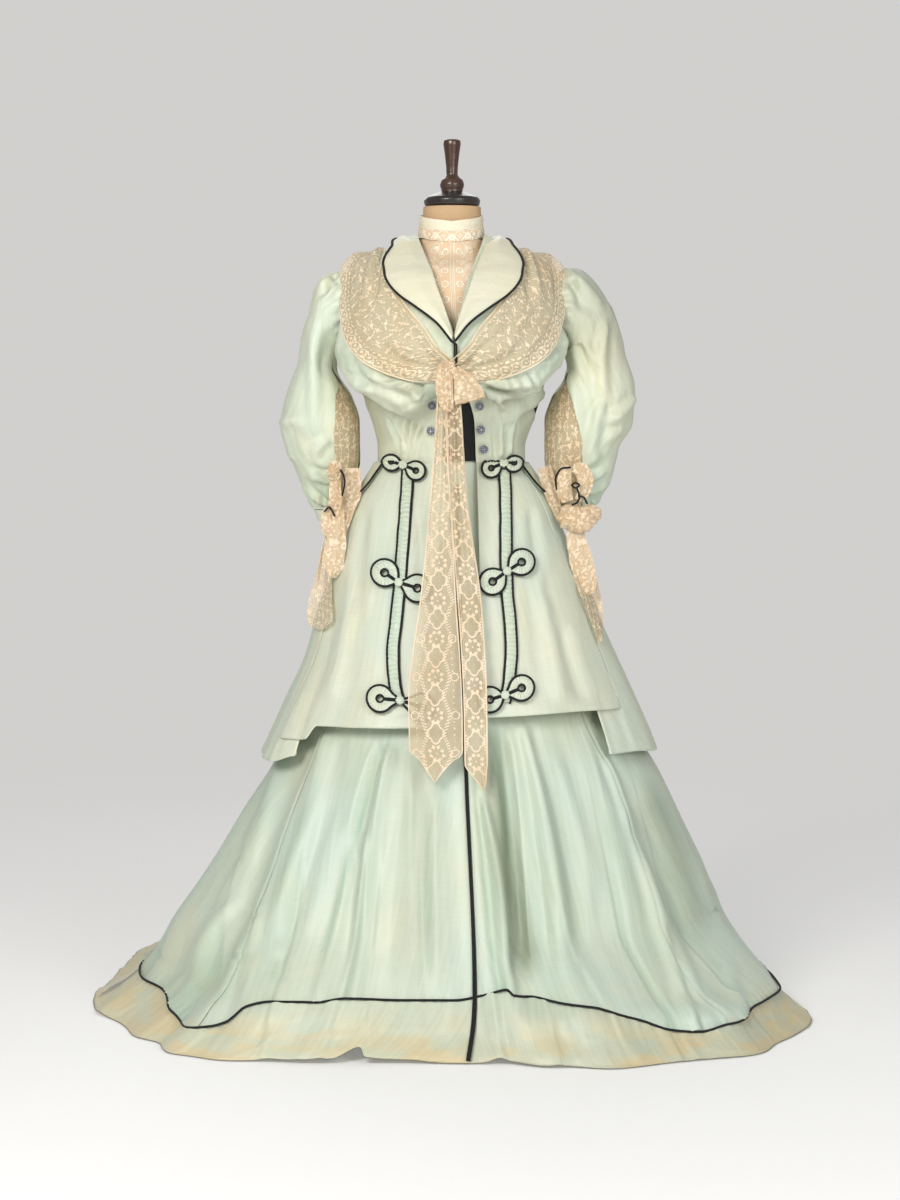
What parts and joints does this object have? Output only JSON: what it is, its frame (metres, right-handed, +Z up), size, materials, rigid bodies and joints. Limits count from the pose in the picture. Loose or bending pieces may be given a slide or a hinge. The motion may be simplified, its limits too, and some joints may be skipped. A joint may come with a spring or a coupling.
{
  "type": "bustle dress on a dress form",
  "caption": "Trained silk day dress with a pouched jacket bodice, long jacket skirts, lace bertha, bow and tails and black piping, on a limbless dress form.",
  "frame": {"origin": "centre of the stand's underside, on the floor under the pole", "axes": "+Z up, the dress faces -Y, +X is to the wearer's left"},
  "size_m": [1.2783, 1.4087, 1.54],
  "materials": {
    "taffeta": "crisp mint green silk taffeta with a soft sheen and age tints",
    "trim_taffeta": "the same taffeta, finely ruched",
    "collar_taffeta": "paler, yellowed taffeta",
    "lace": "ecru net lace, matt and see-through",
    "velvet": "black silk velvet",
    "steel": "cut steel with faceted rosettes",
    "linen": "natural linen over a padded form",
    "wood": "dark stained and waxed",
    "iron": "black lacquered",
    "ivory_silk": "ivory silk ribbon"
  },
  "bodies": {
    "root": {"form_torso": "linen", "form_finial": "wood", "form_pole": "wood", "form_base": "iron", "skirt_front_right": "taffeta", "skirt_front_left": "taffeta", "skirt_side_right": "taffeta", "skirt_side_left": "taffeta", "skirt_back_right": "taffeta", "skirt_back_left": "taffeta", "flounce_front_right": "taffeta", "flounce_front_left": "taffeta", "flounce_back_right": "taffeta", "flounce_back_left": "taffeta", "skirt_piping_front": "velvet", "skirt_piping_hem_right": "velvet", "skirt_piping_hem_left": "velvet", "velvet_waist_panel": "velvet", "peplum_front_right": "taffeta", "peplum_front_left": "taffeta", "peplum_back_right": "taffeta", "peplum_back_left": "taffeta", "hip_flap_right": "taffeta", "hip_flap_left": "taffeta", "trim_band_right": "trim_taffeta", "trim_band_left": "trim_taffeta", "scroll_top_right": "trim_taffeta", "scroll_top_left": "trim_taffeta", "scroll_middle_right": "trim_taffeta", "scroll_middle_left": "trim_taffeta", "scroll_bottom_right": "trim_taffeta", "scroll_bottom_left": "trim_taffeta", "bodice_front_right": "taffeta", "bodice_front_left": "taffeta", "bodice_back": "taffeta", "button_right_upper": "steel", "button_right_lower": "steel", "button_left_upper": "steel", "button_left_middle": "steel", "button_left_lower": "steel", "shawl_collar_right": "collar_taffeta", "shawl_collar_left": "collar_taffeta", "lace_chemisette": "lace", "lace_neck_collar": "lace", "lace_bertha_right": "lace", "lace_bertha_left": "lace", "lace_bow": "lace", "lace_tail_right": "lace", "lace_tail_left": "lace", "sleeve_lace_right": "lace", "sleeve_lace_left": "lace", "cuff_rosette_right": "lace", "cuff_rosette_left": "lace", "cuff_tail_right": "lace", "cuff_tail_left": "lace", "neckband": "ivory_silk", "sleeve_right": "taffeta", "sleeve_left": "taffeta", "cuff_right": "taffeta", "cuff_left": "taffeta"}
  },
  "joints": []
}
